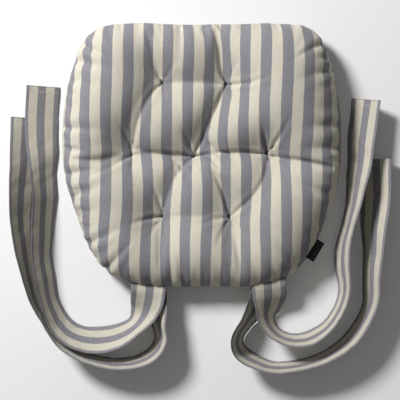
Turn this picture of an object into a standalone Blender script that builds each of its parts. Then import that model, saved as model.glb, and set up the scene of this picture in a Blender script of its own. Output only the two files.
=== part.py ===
"""Tufted chair seat pad with four cloth ties, in metres, +Z up.

The origin is at the middle of the pad's underside, on the surface that the pad rests on.
+Y points to the wide front edge of the seat and the ties are sewn into the rear edge.
"""

import math

import bpy
from mathutils import Vector
from mathutils.geometry import delaunay_2d_cdt

# The pad.
THICKNESS = 0.080
SEAM_HEIGHT = 0.036
SEAM_GAP = 0.0012
CLOTH = 0.0016
FILLING_BELOW_TOP = 0.0036
FILLING_ABOVE_UNDERSIDE = 0.0026
FILLING_EDGE_SHARE = 0.026
FILLING_EDGE_FROM = 0.75
TOP_ROUNDING = 2.8
UNDERSIDE_ROUNDING = 2.2
UNDERSIDE_FLAT_TO = 0.80

# Half of the edge seam as (x, y), from the middle of the front to the middle of the rear.
HALF_OUTLINE = [
    (0.000, 0.188),
    (0.050, 0.189),
    (0.095, 0.190),
    (0.143, 0.184),
    (0.171, 0.161),
    (0.186, 0.125),
    (0.196, 0.082),
    (0.200, 0.030),
    (0.196, -0.030),
    (0.180, -0.084),
    (0.159, -0.134),
    (0.126, -0.170),
    (0.080, -0.186),
    (0.036, -0.188),
    (0.000, -0.188),
]
OUTLINE_STEPS = 2
RIM_RINGS = (1.0, 0.985, 0.95, 0.89, 0.80)
PLAN_SPACING = 0.026
PLAN_REACH = 0.74

# The tufts, by name, as (x, y).
TUFTS = {
    "front_left": (-0.057, 0.105),
    "front_right": (0.034, 0.103),
    "middle_left": (-0.101, 0.001),
    "middle": (-0.012, -0.001),
    "middle_right": (0.093, 0.002),
    "rear_left": (-0.057, -0.087),
    "rear_right": (0.039, -0.088),
}
TUFT_DEPTH = 0.044
TUFT_SPREAD = 0.024
RECESS_DEPTH = 0.008
RECESS_RADIUS = 0.009
TUFT_RINGS = ((0.004, 8), (0.009, 10), (0.021, 12))
TUFT_HOLE_RADIUS = 0.0016
THREAD_RADIUS = 0.0009
STITCH_HEAD_RADIUS = 0.0022
STITCH_HEAD_HEIGHT = 0.0016
KNOT_HEIGHT = 0.0024
LATHE_SIDES = 10
CLEARANCE = 0.0003

# The ties. Each route is a list of (x, y, bank in degrees, height of the low edge).
# The low edge is on the inside of the bend, so the strip leans like a banked track.
TIE_WIDTH = 0.050
TIE_THICKNESS = 0.0024
TIE_STEPS = 3
TIE_ROUTES = {
    "tie_left_upper": [
        (-0.077, -0.177, 0, 0.0375),
        (-0.077, -0.190, 1, 0.0372),
        (-0.079, -0.209, 13, 0.0270),
        (-0.085, -0.229, 36, 0.0080),
        (-0.097, -0.246, 56, 0.0),
        (-0.123, -0.261, 48, 0.0),
        (-0.152, -0.267, 43, 0.0),
        (-0.183, -0.261, 48, 0.0),
        (-0.203, -0.246, 53, 0.0),
        (-0.217, -0.221, 60, 0.0),
        (-0.225, -0.184, 62, 0.0),
        (-0.231, -0.146, 59, 0.0),
        (-0.231, -0.110, 53, 0.0),
        (-0.228, -0.070, 52, 0.0),
        (-0.230, -0.028, 45, 0.0),
        (-0.232, 0.010, 31, 0.0),
        (-0.233, 0.050, 20, 0.0),
        (-0.2305, 0.1015, 19, 0.0),
    ],
    "tie_left_lower": [
        (-0.077, -0.177, 0, 0.0318),
        (-0.077, -0.190, 2, 0.0308),
        (-0.0725, -0.209, 22, 0.0105),
        (-0.066, -0.227, 45, 0.0020),
        (-0.062, -0.246, 63, 0.0),
        (-0.060, -0.264, 67, 0.0),
        (-0.067, -0.281, 69, 0.0),
        (-0.084, -0.294, 71, 0.0),
        (-0.112, -0.300, 75, 0.0),
        (-0.147, -0.298, 77, 0.0),
        (-0.180, -0.286, 77, 0.0),
        (-0.208, -0.265, 79, 0.0),
        (-0.230, -0.232, 78, 0.0),
        (-0.245, -0.195, 74, 0.0),
        (-0.255, -0.150, 65, 0.0),
        (-0.261, -0.097, 54, 0.0),
        (-0.260, -0.050, 44, 0.0),
        (-0.257, -0.005, 33, 0.0),
        (-0.2535, 0.0555, 20, 0.0),
    ],
    "tie_right_upper": [
        (0.096, -0.170, 0, 0.0375),
        (0.096, -0.184, 1, 0.0372),
        (0.097, -0.200, 11, 0.0275),
        (0.0955, -0.218, 38, 0.0070),
        (0.094, -0.233, 56, 0.0),
        (0.100, -0.249, 65, 0.0),
        (0.114, -0.261, 70, 0.0),
        (0.136, -0.267, 70, 0.0),
        (0.160, -0.262, 71, 0.0),
        (0.184, -0.245, 75, 0.0),
        (0.200, -0.217, 74, 0.0),
        (0.206, -0.190, 72, 0.0),
        (0.203, -0.160, 68, 0.0),
        (0.204, -0.130, 70, 0.0),
        (0.212, -0.098, 73, 0.0),
        (0.221, -0.060, 67, 0.0),
        (0.227, -0.018, 51, 0.0),
        (0.231, 0.025, 43, 0.0),
        (0.238, 0.082, 37, 0.0),
    ],
    "tie_right_lower": [
        (0.096, -0.170, 0, 0.0318),
        (0.0955, -0.184, 2, 0.0308),
        (0.0905, -0.200, 20, 0.0120),
        (0.079, -0.218, 46, 0.0020),
        (0.066, -0.239, 63, 0.0),
        (0.053, -0.259, 67, 0.0),
        (0.052, -0.275, 66, 0.0),
        (0.062, -0.289, 66, 0.0),
        (0.083, -0.300, 71, 0.0),
        (0.112, -0.306, 75, 0.0),
        (0.146, -0.302, 75, 0.0),
        (0.178, -0.291, 73, 0.0),
        (0.208, -0.272, 70, 0.0),
        (0.229, -0.246, 69, 0.0),
        (0.243, -0.214, 69, 0.0),
        (0.245, -0.175, 66, 0.0),
        (0.247, -0.130, 56, 0.0),
        (0.251, -0.080, 38, 0.0),
        (0.252, -0.042, 30, 0.0),
        (0.251, -0.004, 20, 0.0),
    ],
}
# Which side of its route each tie's raised edge is on: 1 left of travel, -1 right.
RAISED_SIDE = {"left": 1, "right": -1}
SLOT_SIDE_ROOM = 0.0025
SLOT_HEIGHT = 0.0130
SLOT_REACH = 0.030
HEM_FROM_END = 0.008
HEM_SIDE_ROOM = 0.001
HEM_THREAD_RADIUS = 0.0004
ANCHOR_FROM_ROOT = 0.0025
ANCHOR_THREAD_RADIUS = 0.0005

# The edge seam's thread, laid inside the covers.
SEAM_THREAD_RADIUS = 0.0005
SEAM_THREAD_INSET = 0.0030

# The side label, a folded tab with its long side on the seam.
LABEL_NEAR = (0.159, -0.129)
LABEL_LENGTH = 0.031
LABEL_REACH = 0.010
LABEL_THICKNESS = 0.0010
LABEL_STITCH_FROM_EDGE = 0.002


def clear_scene():
    for obj in list(bpy.data.objects):
        bpy.data.objects.remove(obj, do_unlink=True)


def make_material(name, colour, roughness):
    material = bpy.data.materials.new(name)
    material.use_nodes = True
    shader = material.node_tree.nodes["Principled BSDF"]
    shader.inputs["Base Color"].default_value = (*colour, 1.0)
    shader.inputs["Roughness"].default_value = roughness
    shader.inputs["Metallic"].default_value = 0.0
    material.diffuse_color = (*colour, 1.0)
    return material


def add_mesh_object(name, points, faces, material):
    mesh = bpy.data.meshes.new(name)
    mesh.from_pydata([tuple(point) for point in points], [], faces)
    mesh.validate()
    mesh.shade_smooth()
    obj = bpy.data.objects.new(name, mesh)
    obj.data.materials.append(material)
    bpy.context.scene.collection.objects.link(obj)
    return obj


def smooth_curve(points, steps, closed=False):
    """Points of a Catmull-Rom curve through the given points, of any dimension."""
    count = len(points)
    segments = count if closed else count - 1
    curve = []
    for i in range(segments):
        if closed:
            around = [points[(i + k) % count] for k in (-1, 0, 1, 2)]
        else:
            around = [points[min(max(i + k, 0), count - 1)] for k in (-1, 0, 1, 2)]
        for step in range(steps):
            t = step / steps
            weights = (
                -0.5 * t + t * t - 0.5 * t**3,
                1 - 2.5 * t * t + 1.5 * t**3,
                0.5 * t + 2 * t * t - 1.5 * t**3,
                -0.5 * t * t + 0.5 * t**3,
            )
            curve.append(
                tuple(sum(w * p[k] for w, p in zip(weights, around)) for k in range(len(points[0])))
            )
    if not closed:
        curve.append(tuple(points[-1]))
    return curve


def seam_outline():
    """The edge seam in plan, anticlockwise from the middle of the front."""
    left = [(-x, y) for x, y in HALF_OUTLINE]
    right = HALF_OUTLINE[-2:0:-1]
    return smooth_curve(left + right, OUTLINE_STEPS, closed=True)


OUTLINE = seam_outline()


def edge_ratio(x, y):
    """How far (x, y) is from the middle, as a share of the way to the seam."""
    if x == 0 and y == 0:
        return 0.0
    for i, (ax, ay) in enumerate(OUTLINE):
        bx, by = OUTLINE[(i + 1) % len(OUTLINE)]
        from_a = ax * y - ay * x
        from_b = bx * y - by * x
        ahead = ax * x + ay * y > 0 and bx * x + by * y > 0
        if ahead and from_a * from_b <= 0 and from_a != from_b:
            share = from_a / (from_a - from_b)
            edge = math.hypot(ax + share * (bx - ax), ay + share * (by - ay))
            return min(math.hypot(x, y) / edge, 1.0)
    return 0.0


def rounding(ratio, power):
    return max(1.0 - ratio**power, 0.0) ** (1.0 / power)


def from_nearest_tuft(x, y):
    return min(math.hypot(x - tuft_x, y - tuft_y) for tuft_x, tuft_y in TUFTS.values())


def top_height(x, y):
    crown = (THICKNESS - SEAM_HEIGHT) * rounding(edge_ratio(x, y), TOP_ROUNDING)
    pull = math.exp(-((from_nearest_tuft(x, y) / TUFT_SPREAD) ** 2))
    return SEAM_HEIGHT + SEAM_GAP / 2 + crown - TUFT_DEPTH * pull


def underside_height(x, y):
    past_flat = max(edge_ratio(x, y) - UNDERSIDE_FLAT_TO, 0.0) / (1.0 - UNDERSIDE_FLAT_TO)
    fall = (SEAM_HEIGHT - SEAM_GAP / 2) * rounding(past_flat, UNDERSIDE_ROUNDING)
    recess = RECESS_DEPTH * max(1.0 - (from_nearest_tuft(x, y) / RECESS_RADIUS) ** 2, 0.0) ** 2
    return SEAM_HEIGHT - SEAM_GAP / 2 - fall + recess


def plan_points():
    """Points of the pad in plan: rings beside the seam, rings at each tuft, a grid between."""
    points = [(x * ratio, y * ratio) for ratio in RIM_RINGS for x, y in OUTLINE]
    for centre_x, centre_y in TUFTS.values():
        points.append((centre_x, centre_y))
        for radius, count in TUFT_RINGS:
            for i in range(count):
                angle = 2 * math.pi * i / count
                points.append(
                    (centre_x + radius * math.cos(angle), centre_y + radius * math.sin(angle))
                )
    widest_ring = TUFT_RINGS[-1][0]
    cells = int(0.2 / PLAN_SPACING) + 1
    for row in range(-cells, cells + 1):
        for column in range(-cells, cells + 1):
            x = PLAN_SPACING * (column + 0.5 * (row % 2))
            y = PLAN_SPACING * row
            clear_of_tufts = from_nearest_tuft(x, y) > 1.4 * widest_ring
            if clear_of_tufts and 0 < edge_ratio(x, y) < PLAN_REACH:
                points.append((x, y))
    return points


def plan_triangles():
    """The pad in plan as (points, triangles), the outline's points first."""
    outline_face = [list(range(len(OUTLINE)))]
    vectors = [Vector(point) for point in plan_points()]
    points, _, triangles, *_ = delaunay_2d_cdt(vectors, [], outline_face, 1, 1e-6)
    upward = []
    for a, b, c in triangles:
        turn = (points[b] - points[a]).cross(points[c] - points[a])
        upward.append((a, b, c) if turn > 0 else (a, c, b))
    return [(point.x, point.y) for point in points], upward


def add_boolean(obj, cutter, name):
    cut = obj.modifiers.new(name, "BOOLEAN")
    cut.operation = "DIFFERENCE"
    cut.solver = "EXACT"
    cut.object = cutter


def make_cutter(name, points, faces):
    cutter = add_mesh_object(name, points, faces, make_material(name, (0.5, 0.5, 0.5), 0.5))
    cutter.hide_render = True
    cutter.display_type = "WIRE"
    return cutter


def lathe_mesh(profile, centre, sides):
    """Points and faces of a turned solid. The profile is (radius, height) from bottom to top."""
    points = []
    faces = [tuple(range(sides - 1, -1, -1))]
    for radius, height in profile:
        for i in range(sides):
            angle = 2 * math.pi * i / sides
            points.append(
                (
                    centre[0] + radius * math.cos(angle),
                    centre[1] + radius * math.sin(angle),
                    height,
                )
            )
    for ring in range(len(profile) - 1):
        low = ring * sides
        for i in range(sides):
            after = (i + 1) % sides
            faces.append((low + i, low + after, low + sides + after, low + sides + i))
    top = (len(profile) - 1) * sides
    faces.append(tuple(range(top, top + sides)))
    return points, faces


def make_tuft_cutter():
    """Seven thin upright pins, one through each tuft."""
    points = []
    faces = []
    for centre in TUFTS.values():
        profile = [(TUFT_HOLE_RADIUS, -0.01), (TUFT_HOLE_RADIUS, THICKNESS + 0.01)]
        pin_points, pin_faces = lathe_mesh(profile, centre, LATHE_SIDES)
        faces += [tuple(index + len(points) for index in face) for face in pin_faces]
        points += pin_points
    return make_cutter("tuft_holes", points, faces)


def make_slot_cutter(side):
    """A box that opens the seam for the roots of one pair of ties."""
    root_x, root_y = TIE_ROUTES[f"tie_{side}_upper"][0][:2]
    half_width = TIE_WIDTH / 2 + SLOT_SIDE_ROOM
    low = (root_x - half_width, root_y - SLOT_REACH, SEAM_HEIGHT - SLOT_HEIGHT / 2)
    high = (root_x + half_width, root_y + SLOT_SIDE_ROOM, SEAM_HEIGHT + SLOT_HEIGHT / 2)
    points = [(x, y, z) for z in (low[2], high[2]) for y in (low[1], high[1]) for x in (low[0], high[0])]
    faces = [(0, 2, 3, 1), (4, 5, 7, 6), (0, 1, 5, 4), (1, 3, 7, 5), (3, 2, 6, 7), (2, 0, 4, 6)]
    return make_cutter(f"tie_slot_{side}", points, faces)


def make_cover(name, height, faces_up, plan, material, cutters):
    """One cloth shell, from its outer surface inwards, with its tuft holes and tie slots."""
    points, triangles = plan
    if not faces_up:
        triangles = [(a, c, b) for a, b, c in triangles]
    solid_points = [(x, y, height(x, y)) for x, y in points]
    cover = add_mesh_object(name, solid_points, triangles, material)
    thicken = cover.modifiers.new("cloth", "SOLIDIFY")
    thicken.thickness = CLOTH
    thicken.offset = -1.0
    for number, cutter in enumerate(cutters):
        add_boolean(cover, cutter, f"cut_{number}")
    return cover


def draw_in_edge(x, y):
    """A point of the plan moved in from the seam, more the nearer to the seam it is."""
    near_edge = max(edge_ratio(x, y) - FILLING_EDGE_FROM, 0.0) / (1.0 - FILLING_EDGE_FROM)
    keep = 1.0 - FILLING_EDGE_SHARE * near_edge
    return x * keep, y * keep


def make_filling(plan, material, cutters):
    """The fibre filling: the room inside the covers, kept clear of them on every side."""
    points, triangles = plan
    rim = len(OUTLINE)
    solid_points = [(*draw_in_edge(x, y), SEAM_HEIGHT) for x, y in points[:rim]]
    for x, y in points[rim:]:
        solid_points.append((*draw_in_edge(x, y), top_height(x, y) - FILLING_BELOW_TOP))
    for x, y in points[rim:]:
        solid_points.append((*draw_in_edge(x, y), underside_height(x, y) + FILLING_ABOVE_UNDERSIDE))
    below = list(range(rim)) + [len(points) + index for index in range(len(points) - rim)]
    faces = triangles + [(below[a], below[c], below[b]) for a, b, c in triangles]
    filling = add_mesh_object("fibre_filling", solid_points, faces, material)
    for number, cutter in enumerate(cutters):
        add_boolean(filling, cutter, f"cut_{number}")
    return filling


def make_tuft_thread(place, centre, material):
    """One tuft's stitch: a head in the dimple, a shank through the pad, a knot under it."""
    ring, count = TUFT_RINGS[0]
    around = [2 * math.pi * i / count for i in range(count)]
    beside = [(centre[0] + ring * math.cos(a), centre[1] + ring * math.sin(a)) for a in around]
    head_base = max(top_height(x, y) for x, y in beside) + CLEARANCE
    knot_top = min(underside_height(x, y) for x, y in beside) - CLEARANCE
    profile = [
        (0.5 * STITCH_HEAD_RADIUS, knot_top - KNOT_HEIGHT),
        (STITCH_HEAD_RADIUS, knot_top - 0.7 * KNOT_HEIGHT),
        (STITCH_HEAD_RADIUS, knot_top - 0.2 * KNOT_HEIGHT),
        (THREAD_RADIUS, knot_top),
        (THREAD_RADIUS, head_base),
        (STITCH_HEAD_RADIUS, head_base + 0.2 * STITCH_HEAD_HEIGHT),
        (STITCH_HEAD_RADIUS, head_base + 0.6 * STITCH_HEAD_HEIGHT),
        (0.5 * STITCH_HEAD_RADIUS, head_base + STITCH_HEAD_HEIGHT),
    ]
    points, faces = lathe_mesh(profile, centre, LATHE_SIDES)
    return add_mesh_object(f"tuft_thread_{place}", points, faces, material)


def make_thread(name, points, radius, material):
    """A round thread along a line of points."""
    curve = bpy.data.curves.new(name, "CURVE")
    curve.dimensions = "3D"
    curve.bevel_depth = radius
    curve.bevel_resolution = 1
    curve.use_fill_caps = True
    spline = curve.splines.new("POLY")
    spline.points.add(len(points) - 1)
    for spline_point, (x, y, z) in zip(spline.points, points):
        spline_point.co = (x, y, z, 1.0)
    curve.materials.append(material)
    obj = bpy.data.objects.new(name, curve)
    bpy.context.scene.collection.objects.link(obj)
    return obj


def make_seam_threads(material):
    """The edge seam's thread round the pad, and the rear seam that closes the filling in."""
    scale_in = [1.0 - SEAM_THREAD_INSET / math.hypot(x, y) for x, y in OUTLINE]
    line = [(x * s, y * s, SEAM_HEIGHT) for (x, y), s in zip(OUTLINE, scale_in)]
    room = TIE_WIDTH / 2 + 3 * SLOT_SIDE_ROOM
    left_root = TIE_ROUTES["tie_left_upper"][0][0]
    right_root = TIE_ROUTES["tie_right_upper"][0][0]
    rear = [point for point in line if point[1] < 0 and left_root + room < point[0] < right_root - room]
    start = len(line) // 2
    ordered = line[start:] + line[:start]
    long_way = [
        point for point in ordered if point[1] > 0 or not left_root - room < point[0] < right_root + room
    ]
    make_thread("closing_seam_thread", rear, SEAM_THREAD_RADIUS, material)
    make_thread("edge_seam_thread", long_way, SEAM_THREAD_RADIUS, material)


def tie_frames(name):
    """Along one tie: (centre, direction to the raised edge, upward normal) at each station."""
    stations = smooth_curve(TIE_ROUTES[name], TIE_STEPS)
    raised_side = RAISED_SIDE[name.split("_")[1]]
    centres = []
    for x, y, bank, low_edge in stations:
        lean = math.radians(bank)
        rise = TIE_WIDTH / 2 * math.sin(lean) + TIE_THICKNESS / 2 * math.cos(lean)
        centres.append(Vector((x, y, max(low_edge, 0.0) + rise)))
    frames = []
    for i, (centre, station) in enumerate(zip(centres, stations)):
        ahead = centres[min(i + 1, len(centres) - 1)] - centres[max(i - 1, 0)]
        level = Vector((-ahead.y, ahead.x, 0.0)).normalized() * raised_side
        lean = math.radians(station[2])
        across = level * math.cos(lean) + Vector((0.0, 0.0, math.sin(lean)))
        normal = Vector((0.0, 0.0, math.cos(lean))) - level * math.sin(lean)
        frames.append((centre, across, normal))
    return frames


def make_tie(name, material):
    """One cloth tie: a flat strip of rectangular section that leans along its route."""
    points = []
    for centre, across, normal in tie_frames(name):
        wide = across * (TIE_WIDTH / 2)
        thick = normal * (TIE_THICKNESS / 2)
        points += [centre - wide - thick, centre + wide - thick, centre + wide + thick, centre - wide + thick]
    stations = len(points) // 4
    last = 4 * (stations - 1)
    faces = [(0, 1, 2, 3), (last + 3, last + 2, last + 1, last)]
    for i in range(stations - 1):
        base = 4 * i
        for k in range(4):
            after = (k + 1) % 4
            faces.append((base + k, base + 4 + k, base + 4 + after, base + after))
    if RAISED_SIDE[name.split("_")[1]] > 0:
        faces = [tuple(reversed(face)) for face in faces]
    return add_mesh_object(name, points, faces, material)


def along_tie(name, distance, from_end):
    """The frame of a tie at a distance from its root or from its free end."""
    frames = tie_frames(name)
    if from_end:
        frames = frames[::-1]
    left = distance
    for (a, a_across, a_normal), (b, b_across, b_normal) in zip(frames, frames[1:]):
        length = (b - a).length
        if left <= length:
            share = left / length
            return a.lerp(b, share), a_across.lerp(b_across, share), a_normal.lerp(b_normal, share)
        left -= length
    return frames[-1]


def make_tie_stitch(name, tie, distance, from_end, radius, material):
    """A row of stitches across a tie, lying on its upper face."""
    centre, across, normal = along_tie(tie, distance, from_end)
    middle = centre + normal * (TIE_THICKNESS / 2 + radius + CLEARANCE)
    reach = across * (TIE_WIDTH / 2 - HEM_SIDE_ROOM)
    make_thread(name, [middle - reach, middle, middle + reach], radius, material)


def make_label(cloth, thread):
    """The folded side label, its long side on the seam, and the stitches that hold it."""
    near = min(range(len(OUTLINE)), key=lambda i: math.dist(OUTLINE[i], LABEL_NEAR))
    before = Vector(OUTLINE[near - 1])
    after = Vector(OUTLINE[(near + 1) % len(OUTLINE)])
    along = (after - before).normalized()
    out = Vector((along.y, -along.x))
    if out.dot(Vector(OUTLINE[near])) < 0:
        out = -out
    foot = Vector(OUTLINE[near]) + out * CLEARANCE * 2
    half = LABEL_LENGTH / 2
    corners = [
        foot - along * half,
        foot + along * half,
        foot + along * half + out * LABEL_REACH,
        foot - along * half + out * LABEL_REACH,
    ]
    low = SEAM_HEIGHT - LABEL_THICKNESS / 2
    points = [(c.x, c.y, z) for z in (low, low + LABEL_THICKNESS) for c in corners]
    faces = [(3, 2, 1, 0), (4, 5, 6, 7), (0, 1, 5, 4), (1, 2, 6, 5), (2, 3, 7, 6), (3, 0, 4, 7)]
    if (corners[1] - corners[0]).cross(corners[3] - corners[0]) < 0:
        faces = [tuple(reversed(face)) for face in faces]
    add_mesh_object("side_label", points, faces, cloth)
    height = low + LABEL_THICKNESS + CLEARANCE + HEM_THREAD_RADIUS
    stitch_foot = foot + out * LABEL_STITCH_FROM_EDGE
    ends = (-0.85 * half, 0.0, 0.85 * half)
    line = [(*(stitch_foot + along * end), height) for end in ends]
    make_thread("label_stitch", line, HEM_THREAD_RADIUS, thread)


def main():
    clear_scene()
    striped_cloth = make_material("striped_cloth", (0.52, 0.49, 0.44), 0.9)
    tie_cloth = make_material("tie_cloth", (0.48, 0.46, 0.43), 0.9)
    fibre = make_material("fibre", (0.86, 0.86, 0.84), 1.0)
    thread = make_material("thread", (0.66, 0.64, 0.58), 0.7)
    label_cloth = make_material("label_cloth", (0.02, 0.02, 0.022), 0.8)

    plan = plan_triangles()
    tuft_cutter = make_tuft_cutter()
    slot_cutters = [make_slot_cutter(side) for side in RAISED_SIDE]
    cutters = [tuft_cutter, *slot_cutters]
    make_cover("top_cover", top_height, True, plan, striped_cloth, cutters)
    make_cover("bottom_cover", underside_height, False, plan, striped_cloth, cutters)
    make_filling(plan, fibre, cutters)
    for place, centre in TUFTS.items():
        make_tuft_thread(place, centre, thread)
    make_seam_threads(thread)
    for tie in TIE_ROUTES:
        make_tie(tie, tie_cloth)
        hem = tie.replace("tie_", "hem_stitch_")
        make_tie_stitch(hem, tie, HEM_FROM_END, True, HEM_THREAD_RADIUS, thread)
    for side in RAISED_SIDE:
        anchor = f"tie_anchor_stitch_{side}"
        upper = f"tie_{side}_upper"
        make_tie_stitch(anchor, upper, ANCHOR_FROM_ROOT, False, ANCHOR_THREAD_RADIUS, thread)
    make_label(label_cloth, thread)


main()
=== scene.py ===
"""The looks of a tufted seat pad with four cloth ties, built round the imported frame.

The two covers are simulated as cloth: flat panels sewn together round the edge, pressed out
by the filling and held in by seven tufts. The ties are ribbons of two layers of the same
cloth, laid along the frame's routes. Lengths are in metres, but in millimetres in tables whose
comment says so. +Z is up.
"""

import math

import bmesh
import bpy
import numpy as np
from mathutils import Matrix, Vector, noise
from mathutils.bvhtree import BVHTree
from mathutils.geometry import delaunay_2d_cdt
from mathutils.kdtree import KDTree


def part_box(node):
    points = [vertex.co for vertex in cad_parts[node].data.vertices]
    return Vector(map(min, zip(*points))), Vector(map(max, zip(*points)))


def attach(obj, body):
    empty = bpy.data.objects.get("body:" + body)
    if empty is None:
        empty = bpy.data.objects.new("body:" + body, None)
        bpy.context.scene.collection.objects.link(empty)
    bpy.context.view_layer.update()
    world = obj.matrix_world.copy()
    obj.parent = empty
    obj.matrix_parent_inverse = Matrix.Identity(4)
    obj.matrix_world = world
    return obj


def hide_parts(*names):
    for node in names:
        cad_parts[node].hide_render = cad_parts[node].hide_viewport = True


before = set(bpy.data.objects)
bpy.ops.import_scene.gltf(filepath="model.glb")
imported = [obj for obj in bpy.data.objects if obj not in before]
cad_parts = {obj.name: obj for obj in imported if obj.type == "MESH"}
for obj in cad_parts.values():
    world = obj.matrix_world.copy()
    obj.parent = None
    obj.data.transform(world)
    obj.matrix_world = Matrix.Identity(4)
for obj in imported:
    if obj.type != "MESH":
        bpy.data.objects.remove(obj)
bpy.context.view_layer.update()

BODY = "root"

# The view: straight down on the pad and its ties, from far enough that height hardly spreads.
AIM = (-0.0029, -0.0638, 0.040)
CAMERA_HEIGHT = 2.20
VIEW_WIDTH = 0.5736
SENSOR_WIDTH = 36.0

# The soft key light stands at the front left, and a plain white sky lightens the shadows.
KEY_PLACE = (-1.50, 1.40, 1.75)
KEY_SIZE = 0.7
KEY_POWER = 95
WORLD_STRENGTH = 0.185
FLOOR_SIDE = 8.0
FLOOR_DROP = 0.0002

# Half of the edge seam as (x, y) in mm, from the middle of the front to the middle of the rear.
HALF_OUTLINE = [
    (0, 188), (50, 189), (95, 190), (143, 184), (171, 161), (186, 125), (196, 82), (200, 30),
    (196, -30), (180, -84), (159, -134), (126, -170), (80, -186), (36, -188), (0, -188),
]
OUTLINE_STEPS = 8
TUFTS = {
    "front_left": (-0.057, 0.105), "front_right": (0.034, 0.103),
    "middle_left": (-0.101, 0.001), "middle": (-0.012, -0.001), "middle_right": (0.093, 0.002),
    "rear_left": (-0.057, -0.087), "rear_right": (0.039, -0.088),
}
TUFT_TOP = 0.028
TUFT_LOW = 0.009
UNDER_TUFT_REACH = 0.010
SEAM_HEIGHT = 0.032
SEAM_SHARE = 1.007
CLOTH_THICKNESS = 0.0009
FILLING_INSET = 0.0040
FILLING_LUMP = 0.0006
LUMPS_PER_METRE = 60.0

# The cloth simulation: flat panels cut larger than the pad, then pressed out.
CELL = 0.0045
CUT_GROWTH = 1.09
STEPS = 340
SWEEPS = 8
RAMP_STEPS = 40
PRESSURE = 0.00015
DAMPING = 0.90
# Stiffness against lengthening and shortening of threads, diagonals and bends.
LENGTHENING = (0.90, 0.25, 0.04)
SHORTENING = (0.35, 0.15, 0.04)
SEAM_HOLD = 0.08
# Two threads that meet at a point with a cosine below this run on in nearly one line.
NEARLY_STRAIGHT = -0.9
# The inner grid stays this many cells away from the panel's edge, and reaches this far out.
GRID_CLEARANCE = 1.65
GRID_REACH = 0.25
# The start: a lens a little smaller than the pad, with a dip at each tuft.
START_SHARE = 0.97
START_RISE = 0.025
START_FALL = 0.022
START_DIP_REACH = 0.020
START_NOISE = 0.0004
# The filling gives way round a tuft: the top stays under a funnel of this depth and reach.
FUNNEL_DEPTH = 0.052
FUNNEL_REACH = 0.021

# The folds that run from the tufts over the top, each as (tuft, a point on the way, the end
# or the tuft where it ends, depth of the sharp crease, depth of the hollow round it), in mm.
FOLDS = [
    ("front_left", (-11, 104), "front_right", 0.9, 10),
    ("front_left", (-64, 118), (-73, 142), 2.6, 17),
    ("front_left", (-48, 119), (-38, 137), 1.6, 10),
    ("front_left", (-55, 92), (-55, 72), 2.6, 10),
    ("front_left", (-86, 62), "middle_left", 2.2, 18),
    ("front_right", (27, 124), (23, 150), 2.4, 21),
    ("front_right", (45, 124), (54, 142), 1.2, 8), ("front_right", (66, 103), (98, 114), 2.6, 9),
    ("front_right", (47, 77), (66, 45), 1.8, 10), ("front_right", (17, 60), "middle", 2.6, 18),
    ("middle_left", (-108, 26), (-124, 52), 2, 14),
    ("middle_left", (-134, -18), (-174, -36), 2.4, 10),
    ("middle_left", (-56, 2), "middle", 2.2, 13),
    ("middle_left", (-100, -18), (-101, -34), 1.4, 8), ("middle", (-20, 22), (-33, 44), 1.8, 10),
    ("middle", (40, 4), "middle_right", 3.2, 16), ("middle", (-40, -36), "rear_left", 2, 15),
    ("middle", (-14, -22), (-20, -40), 1.2, 7), ("middle_right", (91, 18), (85, 46), 5, 22),
    ("middle_right", (110, 26), (128, 62), 2.6, 10),
    ("middle_right", (121, -6), (156, -9), 2.4, 9),
    ("middle_right", (83, -44), "rear_right", 2.2, 18),
    ("rear_left", (-62, -66), (-72, -36), 2.8, 13),
    ("rear_left", (-48, -62), (-34, -43), 1.2, 8),
    ("rear_left", (-78, -91), (-106, -99), 2.8, 10),
    ("rear_left", (-53, -104), (-53, -126), 1.6, 9),
    ("rear_left", (-69, -104), (-81, -122), 1.2, 6),
    ("rear_left", (-10, -87), "rear_right", 0.6, 8),
    ("rear_right", (32, -58), (20, -24), 3.4, 17), ("rear_right", (15, -93), (-9, -100), 1.8, 7),
    ("rear_right", (49, -101), (67, -119), 2.4, 9),
    ("rear_right", (29, -108), (19, -132), 1.8, 9),
]
HOLLOW_REACH = 0.013
HOLLOW_PULL = 0.027
MIDWAY_LOSS = 0.35
FADE_POWER = 0.8
# A groove's shoulders: place and spread, both in widths of the groove, and share of its depth.
CREASE_WIDTH = 0.0028
CREASE_SHOULDER = (2.4, 1.3, 0.52)
PUCKER_SHOULDER = (2.3, 1.2, 0.35)
# A crease this deep draws the cloth beside it this far together, within about this reach.
CREASE_DRAW_DEPTH = 0.003
CREASE_DRAW = 0.0012
CREASE_DRAW_REACH = 0.012

# The puckers that the edge seam draws into both covers. The marked ones are deeper; between
# them come random ones, this far apart. The marked places are (x, y) in mm.
MARKED_PUCKERS = [
    (-170, 158), (-180, 134), (-198, 40), (-196, -26), (-186, -58), (-160, -122), (-136, -160),
    (172, 157), (186, 118), (199, 42), (199, 10), (186, -58), (140, -160), (-32, 189),
]
MARKED_DEPTH = 0.0040
MARKED_LENGTH = 0.072
RANDOM_DEPTHS = (0.0006, 0.0022)
RANDOM_LENGTHS = (0.030, 0.066)
RANDOM_GAPS = (0.018, 0.036)
PUCKER_WIDTH = 0.0044
EDGE_STEP = 0.001

# The stripes, measured across the flat cloth: one grey stripe has its middle at the given x.
STRIPE_PERIOD = 0.0299
STRIPE_GREY_SHARE = 0.51
STRIPE_GREY_MIDDLE = 0.0063
STRIPE_WANDER = 0.0010
TURNS_AHEAD = 40.0
TIE_STRIPE_PERIOD = 0.0245
TIE_GREY_SHARE = 0.49
TIE_STRIPE_START = -0.0075

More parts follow.
